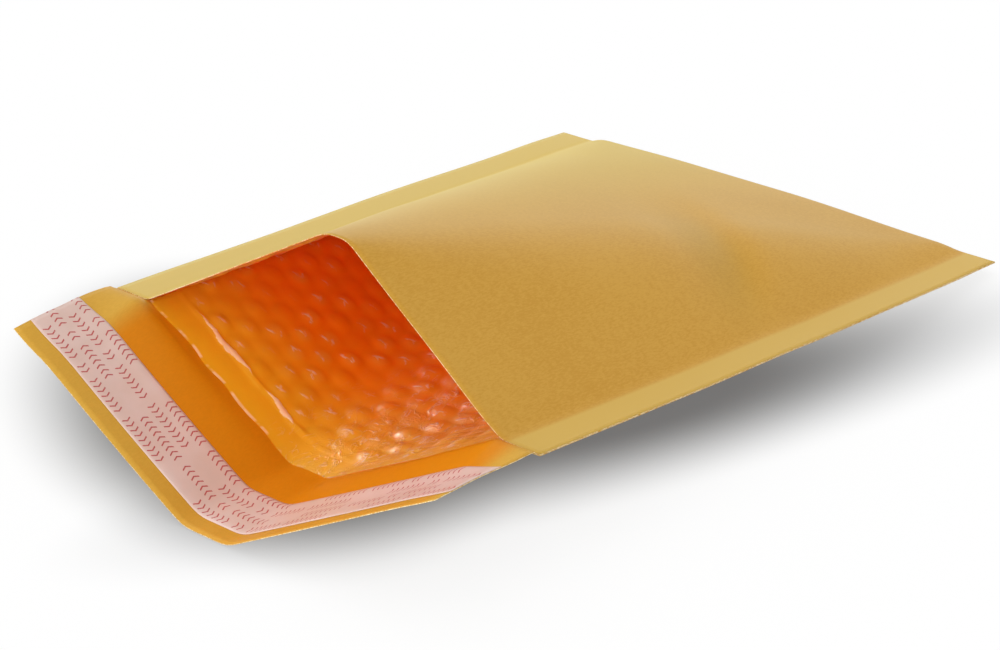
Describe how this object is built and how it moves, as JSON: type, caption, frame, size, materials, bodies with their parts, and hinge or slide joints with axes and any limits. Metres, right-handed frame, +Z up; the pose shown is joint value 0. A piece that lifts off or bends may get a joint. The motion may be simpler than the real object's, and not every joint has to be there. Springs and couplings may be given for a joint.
{
  "type": "padded envelope",
  "caption": "Kraft paper mailing envelope lined with bubble film, lying on its back with its mouth pushed open and its self-seal flap out flat.",
  "frame": {"origin": "centre of the overall box, on the surface that the envelope lies on", "axes": "+Z up out of the front panel, +Y towards the bottom fold, -Y out of the mouth and along the flap"},
  "size_m": [0.2142, 0.3294, 0.088],
  "materials": {
    "kraft_paper": "smooth machine-glazed kraft, matt with a faint sheen",
    "bubble_film": "clear glossy bubble film that takes the colour of the paper behind it",
    "adhesive": "clear tacky pressure-sensitive adhesive",
    "liner_paper": "silicone-coated release paper with rows of small red marks"
  },
  "bodies": {
    "root": {"kraft_envelope": "kraft_paper", "front_lining": "bubble_film", "back_lining": "bubble_film", "adhesive_strip": "adhesive", "release_liner": "liner_paper"}
  },
  "joints": []
}
